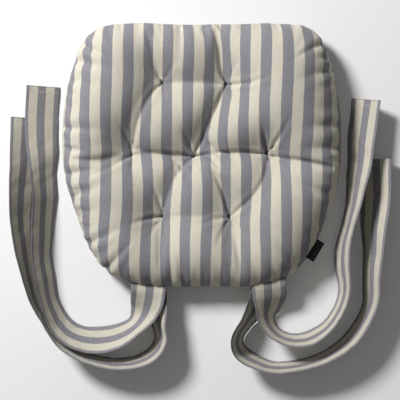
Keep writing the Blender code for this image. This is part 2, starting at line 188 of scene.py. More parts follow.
# The ties, along the frame's routes: (x, y, bank in degrees, height of the low edge), in mm.
# The low edge is on the inside of the bend, so the strip leans like a banked track.
TIE_WIDTH = 0.050
TIE_ROUTES = {
    "tie_left_upper": [
        (-77, -177, 0, 37.5), (-77, -190, 1, 37.2), (-79, -209, 13, 27), (-85, -229, 36, 8),
        (-97, -246, 56, 0), (-123, -261, 48, 0), (-152, -267, 43, 0), (-183, -261, 48, 0),
        (-203, -246, 53, 0), (-217, -221, 60, 0), (-225, -184, 62, 0), (-231, -146, 59, 0),
        (-231, -110, 53, 0), (-228, -70, 52, 0), (-230, -28, 45, 0), (-232, 10, 31, 0),
        (-233, 50, 20, 0), (-230.5, 101.5, 19, 0),
    ],
    "tie_left_lower": [
        (-77, -177, 0, 31.8), (-77, -190, 2, 30.8), (-72.5, -209, 22, 10.5), (-66, -227, 45, 2),
        (-62, -246, 63, 0), (-60, -264, 67, 0), (-67, -281, 69, 0), (-84, -294, 71, 0),
        (-112, -300, 75, 0), (-147, -298, 77, 0), (-180, -286, 77, 0), (-208, -265, 79, 0),
        (-230, -232, 78, 0), (-245, -195, 74, 0), (-255, -150, 65, 0), (-261, -97, 54, 0),
        (-260, -50, 44, 0), (-257, -5, 33, 0), (-253.5, 55.5, 20, 0),
    ],
    "tie_right_upper": [
        (96, -170, 0, 37.5), (96, -184, 1, 37.2), (97, -200, 11, 27.5), (95.5, -218, 38, 7),
        (94, -233, 56, 0), (100, -249, 65, 0), (114, -261, 70, 0), (136, -267, 70, 0),
        (160, -262, 71, 0), (184, -245, 75, 0), (200, -217, 74, 0), (206, -190, 72, 0),
        (203, -160, 68, 0), (204, -130, 70, 0), (212, -98, 73, 0), (221, -60, 67, 0),
        (227, -18, 51, 0), (231, 25, 43, 0), (238, 82, 37, 0),
    ],
    "tie_right_lower": [
        (96, -170, 0, 31.8), (95.5, -184, 2, 30.8), (90.5, -200, 20, 12), (79, -218, 46, 2),
        (66, -239, 63, 0), (53, -259, 67, 0), (52, -275, 66, 0), (62, -289, 66, 0),
        (83, -300, 71, 0), (112, -306, 75, 0), (146, -302, 75, 0), (178, -291, 73, 0),
        (208, -272, 70, 0), (229, -246, 69, 0), (243, -214, 69, 0), (245, -175, 66, 0),
        (247, -130, 56, 0), (251, -80, 38, 0), (252, -42, 30, 0), (251, -4, 20, 0),
    ],
}
# Which side of its route each tie's raised edge is on: 1 left of travel, -1 right.
RAISED_SIDE = {"left": 1, "right": -1}
FRAME_TIE_THICKNESS = 0.0024
TIE_HALF_THICKNESS = 0.0008
TIE_STEPS = 10
TIE_COLUMNS = 17
TIE_EDGE_FROM = 0.90
TIE_EDGE_PUFF = 0.25
# How far the ties' cloth curls, folds and wrinkles, and how many times a metre.
TIE_CURL = 0.0016
TIE_FOLD = 0.0022
TIE_WRINKLE = 0.0007
CURL_RATE = 9.0
FOLD_RATES = (26.0, 14.0)
WRINKLE_RATES = (95.0, 60.0, 50.0)
ROOT_STACK = 0.0010
ROOT_GATHER = 0.022

# The threads. A row of stitches is (length of a stitch, gap).
TUFT_THREAD = 0.0004
TUFT_BAR = 0.0040
TUFT_TAIL = 0.007
SEAM_THREAD = 0.00028
SEAM_THREAD_INSET = 0.0012
MACHINE_STITCHES = (0.0026, 0.0006)
TIE_STITCHES = (0.0026, 0.0009)
LABEL_STITCHES = (0.0022, 0.0008)
HEM_ROWS = (0.0080, 0.0095)
ANCHOR_ROWS = (0.0020, 0.0035)
CLOSING_PITCH = 0.0042
CLOSING_SLANT = 0.0014
CLOSING_RISE = 0.0016
CLOSING_DEPTH = 0.0008
CLOSING_BULGE = 0.0006
TIE_THREAD = 0.00022
LABEL_THREAD = 0.00020

# The label.
LABEL_GAP = 0.0009
LABEL_LAYER = 0.00035
LABEL_STATIONS = 25
LABEL_INSIDE = -0.25
LABEL_TURN = 0.88
LABEL_DROOP = 0.0022
LABEL_RIPPLE = 0.0007
LABEL_RIB = 0.0007

# Colours of the yarns, before the cloth's own light and dark.
CREAM_DARK = (0.50, 0.468, 0.383)
CREAM_LIGHT = (0.58, 0.548, 0.462)
GREY_DARK = (0.135, 0.133, 0.150)
GREY_LIGHT = (0.255, 0.251, 0.275)
CLOUD_COLOUR = (0.30, 0.27, 0.22)
WEFT_COLOUR = (0.95, 0.93, 0.88)
# The ties are the pad's cloth painted this much darker: painted shade for the less light that falls
# on the banked ties.
TIE_PAINTED_SHADE_TONE = 0.92
FIBRE_COLOURS = ((0.78, 0.78, 0.76), (0.90, 0.90, 0.88))
THREAD_COLOURS = ((0.46, 0.44, 0.38), (0.66, 0.63, 0.55))
# The tuft thread is real, but its near-black colour is painted shade for the dark bottoms of the
# deep dimples.
TUFT_THREAD_SHADE_COLOURS = ((0.07, 0.07, 0.08), (0.13, 0.13, 0.14))
BLACK_THREAD_COLOURS = ((0.008, 0.008, 0.009), (0.03, 0.03, 0.032))
TAPE_COLOURS = ((0.005, 0.005, 0.006), (0.014, 0.014, 0.015))
FLOOR_COLOUR = (0.82, 0.82, 0.82)
YARN_PITCH = 0.0008


# ---- curves and numbers


def smooth_curve(points, steps, closed=False):
    """Points of a Catmull-Rom curve through the given points, of any dimension."""
    points = np.asarray(points, float)
    count = len(points)
    segments = count if closed else count - 1
    curve = []
    for i in range(segments):
        around = np.arange(i - 1, i + 3)
        around = points[around % count if closed else np.clip(around, 0, count - 1)]
        for step in range(steps):
            t = step / steps
            weights = (
                -0.5 * t + t * t - 0.5 * t**3,
                1 - 2.5 * t * t + 1.5 * t**3,
                0.5 * t + 2 * t * t - 1.5 * t**3,
                -0.5 * t * t + 0.5 * t**3,
            )
            curve.append(sum(w * p for w, p in zip(weights, around)))
    if not closed:
        curve.append(points[-1])
    return np.array(curve)


def lengths_along(points):
    steps = np.linalg.norm(np.diff(points, axis=0), axis=1)
    return np.concatenate([[0.0], np.cumsum(steps)])


def interpolated(stations, along, points):
    """The places at one or more stations on a line of points."""
    return np.stack([np.interp(stations, along, column) for column in points.T], axis=-1)


def resampled(loop, count):
    """The given number of points at equal distances round a closed loop."""
    closed = np.vstack([loop, loop[:1]])
    along = lengths_along(closed)
    stations = np.linspace(0.0, along[-1], count, endpoint=False)
    return interpolated(stations, along, closed)


def evenly_spaced(loop, spacing):
    return resampled(loop, round(lengths_along(np.vstack([loop, loop[:1]]))[-1] / spacing))


def smoothstep(value, start, end):
    share = np.clip((value - start) / (end - start), 0.0, 1.0)
    return share * share * (3 - 2 * share)


def outline():
    """The edge seam in plan, anticlockwise from the middle of the front."""
    right = [(x / 1000, y / 1000) for x, y in HALF_OUTLINE]
    left = [(-x, y) for x, y in right]
    return smooth_curve(left + right[-2:0:-1], OUTLINE_STEPS, closed=True)


OUTLINE = outline()


def edge_share(points):
    """How far each point is from the middle, as a share of the way to the edge seam."""
    angle = np.arctan2(OUTLINE[:, 1], OUTLINE[:, 0])
    order = np.argsort(angle)
    edge = np.hypot(OUTLINE[order, 0], OUTLINE[order, 1])
    asked = np.arctan2(points[:, 1], points[:, 0])
    reach = np.interp(asked, angle[order], edge, period=2 * math.pi)
    return np.hypot(points[:, 0], points[:, 1]) / reach


# ---- the pad's cloth


def plan_tree(places):
    tree = KDTree(len(places))
    for i, (x, y) in enumerate(places):
        tree.insert((x, y, 0.0), i)
    tree.balance()
    return tree


def flat_panel():
    """One flat panel as (points, faces, how many points are on its edge, edge first)."""
    edge = evenly_spaced(OUTLINE * CUT_GROWTH, CELL)
    count = len(edge)
    along = np.roll(edge, -1, axis=0) - np.roll(edge, 1, axis=0)
    inward = np.column_stack([-along[:, 1], along[:, 0]])
    inward /= np.linalg.norm(inward, axis=1)[:, None]
    second_row = edge + inward * CELL

    cells = int(GRID_REACH / CELL)
    steps = np.arange(-cells, cells + 1) * CELL
    grid = np.array([(x, y) for x in steps for y in steps])
    grid = grid[edge_share(grid / CUT_GROWTH) < 1.0]
    tree = plan_tree(evenly_spaced(OUTLINE * CUT_GROWTH, CELL / 4)[: count * 4])
    grid = [point for point in grid if tree.find((*point, 0.0))[2] > GRID_CLEARANCE * CELL]

    vectors = [Vector(point) for point in (*edge, *second_row, *grid)]
    placed, _, triangles, *_ = delaunay_2d_cdt(vectors, [], [list(range(count))], 1, 1e-7)
    mesh = bmesh.new()
    corners = [mesh.verts.new((point.x, point.y, 0.0)) for point in placed]
    for a, b, c in triangles:
        turn = (placed[b] - placed[a]).cross(placed[c] - placed[a])
        mesh.faces.new([corners[i] for i in ((a, b, c) if turn > 0 else (a, c, b))])
    mesh.verts.index_update()
    bmesh.ops.join_triangles(
        mesh, faces=mesh.faces[:], angle_face_threshold=0.1, angle_shape_threshold=0.35
    )
    faces = [tuple(corner.index for corner in face.verts) for face in mesh.faces]
    mesh.free()
    return np.array([tuple(point) for point in placed]), faces, count


def sewn_panels():
    """Both panels joined at the edge: (flat points, top faces, bottom faces, edge count)."""
    panel, top_faces, edge_count = flat_panel()
    inner = len(panel) - edge_count
    below = np.concatenate([np.arange(edge_count), len(panel) + np.arange(inner)])
    bottom_faces = [tuple(int(below[i]) for i in reversed(face)) for face in top_faces]
    return np.vstack([panel, panel[edge_count:]]), top_faces, bottom_faces, edge_count


def cloth_links(faces, flat):
    """Pairs of points that the cloth holds at a distance: (i, j, 0 thread, 1 diagonal, 2 bend)."""
    threads = set()
    diagonals = set()
    for face in faces:
        for k, corner in enumerate(face):
            other = face[(k + 1) % len(face)]
            threads.add((min(corner, other), max(corner, other)))
        if len(face) == 4:
            diagonals.add((min(face[0], face[2]), max(face[0], face[2])))
            diagonals.add((min(face[1], face[3]), max(face[1], face[3])))
    diagonals -= threads
    beside = [[] for _ in flat]
    for i, j in sorted(threads):
        beside[i].append(j)
        beside[j].append(i)
    bends = set()
    for i, others in enumerate(beside):
        for k, first in enumerate(others):
            for second in others[k + 1 :]:
                a = flat[first] - flat[i]
                b = flat[second] - flat[i]
                if a @ b < NEARLY_STRAIGHT * np.linalg.norm(a) * np.linalg.norm(b):
                    bends.add((min(first, second), max(first, second)))
    bends -= threads | diagonals
    kinds = (threads, diagonals, bends)
    return [(i, j, kind) for kind, pairs in enumerate(kinds) for i, j in sorted(pairs)]


def link_groups(faces, flat):
    """The links in groups where no point comes twice, as arrays with their rest lengths."""
    used = [0] * len(flat)
    groups = []
    for i, j, kind in cloth_links(faces, flat):
        taken = used[i] | used[j]
        group = 0
        while taken >> group & 1:
            group += 1
        used[i] |= 1 << group
        used[j] |= 1 << group
        while len(groups) <= group:
            groups.append([])
        groups[group].append((i, j, kind))
    arrays = []
    for group in groups:
        first, second, kind = np.array(group).T
        rest = np.linalg.norm(flat[first] - flat[second], axis=1)
        longer = np.array(LENGTHENING)[kind] / 2
        shorter = np.array(SHORTENING)[kind] / 2
        arrays.append((first, second, rest, longer, shorter))
    return arrays


def start_shape(flat, on_top, edge_count):
    """The panels as a low lens with a dip at each tuft and the least unevenness."""
    plan = flat / CUT_GROWTH * START_SHARE
    bulge = np.sqrt(np.clip(1.0 - edge_share(plan / START_SHARE) ** 2.5, 0.0, 1.0))
    dip = np.zeros(len(flat))
    for x, y in TUFTS.values():
        away = np.hypot(plan[:, 0] - x, plan[:, 1] - y)
        dip = np.maximum(dip, np.exp(-((away / START_DIP_REACH) ** 2)))
    height = SEAM_HEIGHT + np.where(on_top, START_RISE, -START_FALL) * bulge
    height = height * (1 - dip) + np.where(on_top, TUFT_TOP, TUFT_LOW) * dip
    height += np.random.default_rng(3).normal(0.0, START_NOISE, len(flat))
    height[:edge_count] = SEAM_HEIGHT
    return np.column_stack([plan, height])


def tuft_pins(flat, on_top, edge_count):
    """The points that the tufts hold, and where they hold them."""
    held = []
    places = []
    inside = np.arange(len(flat)) >= edge_count
    for x, y in TUFTS.values():
        for panel, height in ((on_top, TUFT_TOP), (~on_top, TUFT_LOW)):
            away = np.hypot(flat[:, 0] - x * CUT_GROWTH, flat[:, 1] - y * CUT_GROWTH)
            held.append(int(np.argmin(np.where(panel & inside, away, np.inf))))
            places.append((x, y, height))
    return np.array(held), np.array(places)


def outward_push(points, triangles):
    """At each point, the area of cloth round it as a vector along its outward normal."""
    first, second, third = (points[triangles[:, k]] for k in range(3))
    area = np.cross(second - first, third - first) / 2
    push = np.zeros_like(points)
    for corner in range(3):
        for axis in range(3):
            push[:, axis] += np.bincount(triangles[:, corner], area[:, axis], minlength=len(points))
    return push / (3 * CELL * CELL)


def press_out(flat, top_faces, bottom_faces, edge_count):
    """Steps the sewn panels until the filling's pressure, the tufts and the cloth settle."""
    faces = top_faces + bottom_faces
    triangles = np.array([(f[0], f[k], f[k + 1]) for f in faces for k in range(1, len(f) - 1)])
    on_top = np.zeros(len(flat), bool)
    on_top[: (len(flat) + edge_count) // 2] = True
    groups = link_groups(faces, flat)
    held, places = tuft_pins(flat, on_top, edge_count)
    seam = np.column_stack(
        [resampled(OUTLINE * SEAM_SHARE, edge_count), np.full(edge_count, SEAM_HEIGHT)]
    )
    points = start_shape(flat, on_top, edge_count)
    points[:edge_count] = seam
    points[held] = places
    most = funnel_height(flat[on_top] / CUT_GROWTH)
    least = under_tuft_height(flat[~on_top] / CUT_GROWTH)
    pull = hollow_pull(flat[on_top] / CUT_GROWTH)
    before = points.copy()
    for step in range(STEPS):
        drift = (points - before) * DAMPING
        before = points.copy()
        ramp = min(1.0, (step + 1) / RAMP_STEPS)
        points = points + drift + outward_push(points, triangles) * PRESSURE * ramp
        points[on_top, 2] -= pull * ramp
        for _ in range(SWEEPS):
            for first, second, rest, longer, shorter in groups:
                apart = points[first] - points[second]
                length = np.sqrt((apart * apart).sum(axis=1)) + 1e-12
                stretch = (length - rest) / length
                apart *= (stretch * np.where(stretch > 0, longer, shorter))[:, None]
                points[first] -= apart
                points[second] += apart
            points[held] = places
            points[:edge_count] += SEAM_HOLD * (seam - points[:edge_count])
        points[~on_top, 2] = np.maximum(points[~on_top, 2], least)
        points[on_top, 2] = np.clip(points[on_top, 2], TUFT_TOP, most)
    return points


def fold_strength(share, end):
    """How strong a fold is along its way: least midway between tufts, none at a free end."""
    if isinstance(end, str):
        return 1.0 - MIDWAY_LOSS * np.sin(math.pi * share)
    return (1.0 - share) ** FADE_POWER


def groove(away, width, shoulder):
    """A groove's depth, 1 at its bottom: a valley with a low shoulder on each side."""
    place, spread, height = shoulder
    valley = np.exp(-((away / width) ** 1.5))
    return valley - height * np.exp(-(((away - place * width) / (spread * width)) ** 2))


def tuft_distance(places):
    away = [np.hypot(places[:, 0] - x, places[:, 1] - y) for x, y in TUFTS.values()]
    return np.min(away, axis=0)


def funnel_height(places):
    """The most that the top can stand at each place, for its distance from the nearest tuft."""
    return TUFT_TOP + FUNNEL_DEPTH * (1.0 - np.exp(-tuft_distance(places) / FUNNEL_REACH))


def under_tuft_height(places):
    """The least that the underside can stand at each place: on the floor, but for its tufts."""
    return TUFT_LOW * np.exp(-((tuft_distance(places) / UNDER_TUFT_REACH) ** 2))


def hollow_pull(places):
    """How far each step draws the top down at each place, along the folds."""
    deepest = np.zeros(len(places))
    for start, middle, end, _, hollow in FOLDS:
        _, beside, share = nearest_on_path(places, fold_path(start, middle, end))
        depth = hollow / 1000 * fold_strength(share, end) * np.exp(-((beside / HOLLOW_REACH) ** 2))
        deepest = np.maximum(deepest, depth)
    return deepest * HOLLOW_PULL


def puckers():
    """The edge's puckers as (distance round the flat edge, depth, length)."""
    edge = evenly_spaced(OUTLINE * CUT_GROWTH, EDGE_STEP)
    made = []
    for place in MARKED_PUCKERS:
        away = np.linalg.norm(edge / CUT_GROWTH - np.array(place) / 1000, axis=1)
        made.append((EDGE_STEP * int(np.argmin(away)), MARKED_DEPTH, MARKED_LENGTH))
    marked = np.array([station for station, _, _ in made])
    random = np.random.default_rng(11)
    station = 0.0
    while station < EDGE_STEP * len(edge) - RANDOM_GAPS[0]:
        depth, length = random.uniform(*RANDOM_DEPTHS), random.uniform(*RANDOM_LENGTHS)
        if np.min(np.abs(marked - station)) > RANDOM_GAPS[0]:
            made.append((station, depth, length))
        station += random.uniform(*RANDOM_GAPS)
    return made, edge


def puckered(points, normals, flat):
    """The cover's points with the puckers that run in from the edge seam."""
    made, edge = puckers()
    tree = plan_tree(edge)
    found = [tree.find((x, y, 0.0)) for x, y in flat]
    around = np.array([EDGE_STEP * index for _, index, _ in found])
    inwards = np.array([distance for _, _, distance in found])
    whole = EDGE_STEP * len(edge)
    drop = np.zeros(len(points))
    for station, depth, length in made:
        beside = np.abs((around - station + whole / 2) % whole - whole / 2)
        width = PUCKER_WIDTH * (1.0 + inwards / length)
        share = np.clip(inwards / length, 0.0, 1.0)
        strength = np.sqrt(share * 4.0).clip(0.0, 1.0) * (1.0 - share) ** FADE_POWER
        drop += depth * strength * groove(beside, width, PUCKER_SHOULDER)
    return points - normals * drop[:, None]


def fold_path(start, middle, end):
    """A fold's points in plan, on a curve through its middle point."""
    first = np.array(TUFTS[start])
    last = np.array(TUFTS[end]) if isinstance(end, str) else np.array(end) / 1000
    bend = 2 * (np.array(middle) / 1000) - (first + last) / 2
    share = np.linspace(0.0, 1.0, 25)[:, None]
    return (1 - share) ** 2 * first + 2 * share * (1 - share) * bend + share**2 * last


def nearest_on_path(points, path):
    """Each point's vector and distance from the path's nearest point, and how far along it is."""
    offset = np.full(points.shape, np.inf)
    nearest = np.full(len(points), np.inf)
    share = np.zeros(len(points))
    for k in range(len(path) - 1):
        run = path[k + 1] - path[k]
        part = np.clip((points - path[k]) @ run / (run @ run), 0.0, 1.0)
        away = points - path[k] - part[:, None] * run
        distance = np.hypot(away[:, 0], away[:, 1])
        closer = distance < nearest
        offset[closer] = away[closer]
        nearest[closer] = distance[closer]
        share[closer] = (k + part[closer]) / (len(path) - 1)
    return offset, nearest, share


def creased(points, normals):
    """The points with the creases pressed in and the cloth beside them drawn together."""
    deepest = np.zeros(len(points))
    drawn = np.zeros((len(points), 2))
    for start, middle, end, depth, _ in FOLDS:
        offset, away, share = nearest_on_path(points[:, :2], fold_path(start, middle, end))
        strength = fold_strength(share, end)
        depth /= 1000
        drop = depth * strength * groove(away, CREASE_WIDTH, CREASE_SHOULDER)
        deepest = np.where(np.abs(drop) > np.abs(deepest), drop, deepest)
        pull = (1.0 - np.exp(-away / CREASE_WIDTH)) * np.exp(-away / CREASE_DRAW_REACH)
        pull *= CREASE_DRAW * strength * depth / CREASE_DRAW_DEPTH
        drawn -= offset / np.maximum(away, 1e-6)[:, None] * pull[:, None]
    moved = points - normals * deepest[:, None]
    moved[:, :2] += drawn
    return moved


# ---- pieces


def mesh_from(name, points, faces, material):
    mesh = bpy.data.meshes.new(name)
    mesh.from_pydata(np.asarray(points, float).tolist(), [], faces)
    mesh.shade_smooth()
    mesh.materials.append(material)
    return mesh


def add_object(name, data):
    made = bpy.data.objects.new(name, data)
    bpy.context.scene.collection.objects.link(made)
    return made


def add_piece(name, data, replaced):
    """A piece that rides on the body and stands for the replaced nodes."""
    piece = add_object(name, data)
    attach(piece, BODY)
    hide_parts(*replaced)
    return piece


def read(items, key, width, kind):
    """One value of every item, as rows of the given width."""
    values = np.empty(width * len(items), kind)
    items.foreach_get(key, values)
    return values.reshape(-1, width)


def store_cloth_place(mesh, places):
    """Keeps each vertex's place in the flat cloth, in metres, as the UV map 'cloth'."""
    layer = mesh.uv_layers.new(name="cloth")
    corners = read(mesh.loops, "vertex_index", 1, int)[:, 0]
    layer.data.foreach_set("uv", places[corners].astype(np.float32).ravel())


def vertex_places(mesh):
    return read(mesh.vertices, "co", 3, np.float32).astype(float)


def vertex_normals(mesh):
    return np.array([tuple(vertex.normal) for vertex in mesh.vertices])


def flat_places(mesh):
    """Each vertex's place in the flat cloth, read back from the UV map 'cloth'."""
    places = np.zeros((len(mesh.vertices), 2))
    corners = read(mesh.loops, "vertex_index", 1, int)[:, 0]
    places[corners] = read(mesh.uv_layers["cloth"].data, "uv", 2, np.float32)
    return places


def only_used(points, places, faces):
    """The points that the faces use, their places in the flat cloth and the renumbered faces."""
    used = sorted({corner for face in faces for corner in face})
    number = {corner: i for i, corner in enumerate(used)}
    return points[used], places[used], [tuple(number[c] for c in face) for face in faces]


def apply_modifiers(obj):
    """Gives the object the mesh that its modifiers make, and removes them."""
    bpy.context.view_layer.update()
    graph = bpy.context.evaluated_depsgraph_get()
    mesh = bpy.data.meshes.new_from_object(obj.evaluated_get(graph))
    obj.modifiers.clear()
    obj.data = mesh


def make_finer(obj):
    finer = obj.modifiers.new("finer", "SUBSURF")
    finer.levels = finer.render_levels = 1
    apply_modifiers(obj)


def thicken(obj, thickness, offset):
    made = obj.modifiers.new("thickness", "SOLIDIFY")
    made.thickness = thickness
    made.offset = offset
    apply_modifiers(obj)


def make_cover(name, points, flat, faces, material, with_creases):
    """One cover: the settled panel made finer, creased and given the cloth's thickness."""
    panel_points, places, panel_faces = only_used(points, flat, faces)
    mesh = mesh_from(name, panel_points, panel_faces, material)
    store_cloth_place(mesh, places)
    cover = add_piece(name, mesh, [name.replace("_cloth", "")])
    make_finer(cover)
    fine = vertex_places(cover.data)
    fine = puckered(fine, vertex_normals(cover.data), flat_places(cover.data))
    if with_creases:
        fine = creased(fine, vertex_normals(cover.data))
    fine[:, 2] = np.maximum(fine[:, 2], 0.0)
    cover.data.vertices.foreach_set("co", fine.astype(np.float32).ravel())
    cover.data.update()
    thicken(cover, CLOTH_THICKNESS, -1.0)
    return cover


def make_filling(points, flat, faces, material):
    """The fibre filling, a little lumpy, just inside the covers and clear of their folds."""
    mesh = mesh_from("fibre_mass", points, faces, material)
    normals = vertex_normals(mesh)
    points = creased(puckered(points, normals, flat), normals)
    lumps = np.array([noise.noise(Vector(point) * LUMPS_PER_METRE) for point in points])
    inward = FILLING_INSET + FILLING_LUMP * lumps
    moved = points - normals * inward[:, None]
    mesh.vertices.foreach_set("co", moved.astype(np.float32).ravel())
    filling = add_piece("fibre_mass", mesh, ["fibre_filling"])
    return filling


def add_threads(name, lines, radius, material, replaced):
    """Round threads along lines of points, as one piece."""
    curve = bpy.data.curves.new(name, "CURVE")
    curve.dimensions = "3D"
    curve.bevel_depth = radius
    curve.bevel_resolution = 2
    curve.use_fill_caps = True
    for line in lines:
        spline = curve.splines.new("POLY")
        spline.points.add(len(line) - 1)
        for spline_point, place in zip(spline.points, line):
            spline_point.co = (*(float(value) for value in place), 1.0)
    curve.materials.append(material)
    return add_piece(name, curve, replaced)


def surface_height(tree, x, y, from_above):
    """Where an upright line first meets the cover, from above or from below."""
    start = Vector((x, y, 0.2 if from_above else -0.1))
    hit = tree.ray_cast(start, Vector((0.0, 0.0, -1.0 if from_above else 1.0)))[0]
    return hit.z


def make_tufts(top_tree, bottom_tree, material):
    """Each tuft's thread: a bar of stitches in the dimple, a shank, a knot and its two tails."""
    for order, (place, (x, y)) in enumerate(TUFTS.items()):
        turn = 0.5 * order
        across = np.array([math.cos(turn), math.sin(turn), 0.0])
        beside = np.array([-across[1], across[0], 0.0])
        centre = np.array([x, y, 0.0])
        lines = []
        for row in (-1, 0, 1):
            bar = []
            for share in np.linspace(-1.0, 1.0, 9):
                spot = centre + across * share * TUFT_BAR / 2 + beside * row * 2.1 * TUFT_THREAD
                height = surface_height(top_tree, spot[0], spot[1], True)
                rise = TUFT_THREAD * (0.6 - 2.0 * share**4)
                bar.append((spot[0], spot[1], height + rise))
            lines.append(bar)
        top = surface_height(top_tree, x, y, True)
        low = surface_height(bottom_tree, x, y, False)
        lines.append([(x, y, top), (x, y, (top + low) / 2), (x, y, low - TUFT_THREAD)])
        knot = []
        for k in range(25):
            angle = 2 * math.pi * k / 12
            radius = 1.4 * TUFT_THREAD
            drop = low - TUFT_THREAD * (1.0 + 1.6 * k / 24)
            knot.append((x + radius * math.cos(angle), y + radius * math.sin(angle), drop))
        lines.append(knot)
        for side in (-1, 1):
            tail = []
            for share in np.linspace(0.0, 1.0, 7):
                spot = centre + across * side * (0.0012 + TUFT_TAIL * share)
                spot = spot + beside * 0.0015 * math.sin(2.5 * share + side)
                height = surface_height(bottom_tree, spot[0], spot[1], False) - 1.1 * TUFT_THREAD
                tail.append((spot[0], spot[1], max(height, TUFT_THREAD)))
            lines.append(tail)
        add_threads(f"tuft_stitch_{place}", lines, TUFT_THREAD, material, [f"tuft_thread_{place}"])


def stitched(line, stitch, gap):
    """A line of points cut into stitches of one length with one gap between them."""
    along = lengths_along(line)
    count = max(int((along[-1] + gap) / (stitch + gap)), 1)
    start = (along[-1] - count * (stitch + gap) + gap) / 2
    pieces = []
    for k in range(count):
        stations = start + k * (stitch + gap) + np.linspace(0.0, stitch, 5)
        pieces.append(interpolated(stations, along, line))
    return pieces


def arched(piece, normal, height):
    """A stitch whose ends dip into the cloth."""
    share = np.linspace(-1.0, 1.0, len(piece))
    return piece + np.outer(height * (1 - 1.6 * share**4), normal)


def make_seam_threads(seam, material):
    """The seam's running stitches inside the fold, and the slanted ones that close the rear."""
    middle = seam.mean(axis=0)
    inward = middle - seam
    inward[:, 2] = 0.0
    inward /= np.linalg.norm(inward, axis=1)[:, None]
    line = seam + inward * SEAM_THREAD_INSET
    low, high = (np.array(corner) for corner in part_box("closing_seam_thread"))
    closing = (line[:, 1] < 0) & (line[:, 0] > low[0]) & (line[:, 0] < high[0])
    first = int(np.argmax(closing & ~np.roll(closing, 1)))
    ordered = np.roll(line, -first, axis=0)
    closing = np.roll(closing, -first)
    machine = stitched(ordered[~closing], *MACHINE_STITCHES)
    add_threads("edge_seam_stitches", machine, SEAM_THREAD, material, ["edge_seam_thread"])
    outer = np.roll(seam, -first, axis=0)[closing]
    along = lengths_along(outer)
    slanted = []
    rise = np.array([0.0, 0.0, CLOSING_RISE])
    for station in np.arange(0.002, along[-1] - 0.002, CLOSING_PITCH):
        foot = interpolated(station, along, outer)
        ahead = interpolated(station + CLOSING_SLANT, along, outer)
        out = foot - middle
        out[2] = 0.0
        out /= np.linalg.norm(out)
        start = foot - rise - out * CLOSING_DEPTH
        crest = (foot + ahead) / 2 + out * CLOSING_BULGE
        slanted.append([start, crest, ahead + rise - out * CLOSING_DEPTH])
    add_threads("closing_stitches", slanted, SEAM_THREAD, material, ["closing_seam_thread"])


# ---- the ties


def tie_frames(name):
    """Along one tie: arrays of its centre, direction to the raised edge and upward normal."""
    stations = smooth_curve(np.array(TIE_ROUTES[name]) / (1000, 1000, 1, 1000), TIE_STEPS)
    raised_side = RAISED_SIDE[name.split("_")[1]]
    lean = np.radians(stations[:, 2])
    rise = TIE_WIDTH / 2 * np.sin(lean) + FRAME_TIE_THICKNESS / 2 * np.cos(lean)
    centre = np.column_stack([stations[:, :2], np.maximum(stations[:, 3], 0.0) + rise])
    reached = lengths_along(centre)
    gather = 1 - smoothstep(reached, 0.0, ROOT_GATHER)
    root_height = SEAM_HEIGHT + ROOT_STACK * (1 if name.endswith("upper") else -1)
    centre[:, 2] += gather * (root_height - centre[0, 2])
    ahead = np.gradient(centre, axis=0)
    level = np.column_stack([-ahead[:, 1], ahead[:, 0], np.zeros(len(centre))]) * raised_side
    level /= np.linalg.norm(level, axis=1)[:, None]
    up = np.array([0.0, 0.0, 1.0])
    across = level * np.cos(lean)[:, None] + np.outer(np.sin(lean), up)
    normal = np.outer(np.cos(lean), up) - level * np.sin(lean)[:, None]
    return centre, across, normal, reached


def tie_wave(name, along, across):
    """How far the tie's cloth stands off its mean plane: a slow curl, folds and small wrinkles."""
    seed = 7.3 * list(TIE_ROUTES).index(name)
    width_share = 2 * across / TIE_WIDTH
    curl = TIE_CURL * (width_share**2 - 0.33)
    curl *= noise.noise(Vector((along * CURL_RATE, seed, 0.0))) + 0.35
    waves = (along * FOLD_RATES[0], across * FOLD_RATES[1], seed + 2.0)
    fold = TIE_FOLD * noise.noise(Vector(waves))
    slanted = along * WRINKLE_RATES[0] + across * WRINKLE_RATES[1]
    waves = (slanted, across * WRINKLE_RATES[2], seed + 5.0)
    wrinkle = TIE_WRINKLE * noise.noise(Vector(waves))
    free = smoothstep(along, 0.004, 0.060)
    return free * (curl + fold + wrinkle)


def tie_section():
    """The ribbon's section as (across, side): round the upper layer, then back below."""
    columns = np.linspace(-1.0, 1.0, TIE_COLUMNS)
    eased = np.sin(columns * math.pi / 2) * 0.35 + columns * 0.65
    return [(share, 1.0) for share in eased] + [(share, -1.0) for share in eased[::-1]]


def strip_faces(rows, ring, closed):
    """Faces between rows of points, each row an open or closed ring."""
    faces = []
    for k in range(rows - 1):
        row, above = k * ring, (k + 1) * ring
        for j in range(ring if closed else ring - 1):
            after = (j + 1) % ring
            faces.append((row + j, row + after, above + after, above + j))
    return faces


def make_tie(name, material):
    """One tie: two layers of cloth pressed flat, puffed a little at the folded edges."""
    centre, across, normal, reached = tie_frames(name)
    section = tie_section()
    points = []
    places = []
    for k, along in enumerate(reached):
        for share, side in section:
            offset = share * TIE_WIDTH / 2
            edge = max(abs(share) - TIE_EDGE_FROM, 0.0) / (1.0 - TIE_EDGE_FROM)
            half = TIE_HALF_THICKNESS * (1.0 + TIE_EDGE_PUFF * math.sin(math.pi * edge))
            half *= math.sqrt(max(1.0 - edge**4, 0.02))
            lift = tie_wave(name, along, offset) + side * half
            points.append(centre[k] + across[k] * offset + normal[k] * lift)
            places.append((TIE_WIDTH / 2 - offset, along))
    points = np.array(points)
    points[:, 2] = np.maximum(points[:, 2], 0.0)
    ring = len(section)
    faces = strip_faces(len(reached), ring, True)
    last = (len(reached) - 1) * ring
    for j in range(ring // 2 - 1):
        faces.append((j, ring - 1 - j, ring - 2 - j, j + 1)[::-1])
        faces.append((last + j, last + ring - 1 - j, last + ring - 2 - j, last + j + 1))
    if RAISED_SIDE[name.split("_")[1]] > 0:
        faces = [tuple(reversed(face)) for face in faces]
    mesh = mesh_from(f"{name}_ribbon", points, faces, material)
    store_cloth_place(mesh, np.array(places))
    tie = add_piece(f"{name}_ribbon", mesh, [name])
    make_finer(tie)
    return tie, reached[-1]


